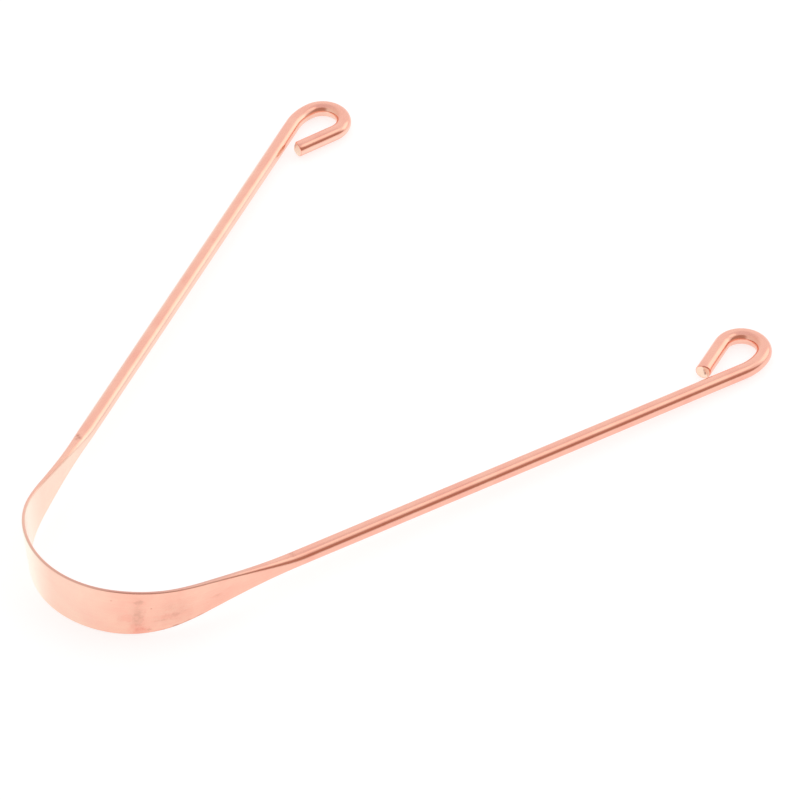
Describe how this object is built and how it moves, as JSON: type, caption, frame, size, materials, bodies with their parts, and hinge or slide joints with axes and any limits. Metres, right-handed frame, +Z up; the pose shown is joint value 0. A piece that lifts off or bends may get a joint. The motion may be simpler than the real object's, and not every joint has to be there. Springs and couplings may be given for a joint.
{
  "type": "tongue scraper",
  "caption": "Tongue scraper bent from copper wire: a flattened, U-shaped scraping strip between straight round arms that end in small inward loops.",
  "frame": {"origin": "on the table, below the middle of the scraper's bounding box", "axes": "+Y from the blade to the loops, +X from the left arm to the right arm, +Z up from the table that the scraper lies on"},
  "size_m": [0.116, 0.1374, 0.0115],
  "materials": {
    "rolled_copper": "satin copper, rolled flat, with fine marks along the strip",
    "drawn_copper": "bright drawn copper wire"
  },
  "bodies": {
    "root": {"scraping_blade": "rolled_copper", "left_bend": "rolled_copper", "right_bend": "rolled_copper", "left_taper": "rolled_copper", "right_taper": "rolled_copper", "left_arm": "drawn_copper", "right_arm": "drawn_copper", "left_loop": "drawn_copper", "right_loop": "drawn_copper"}
  },
  "joints": []
}
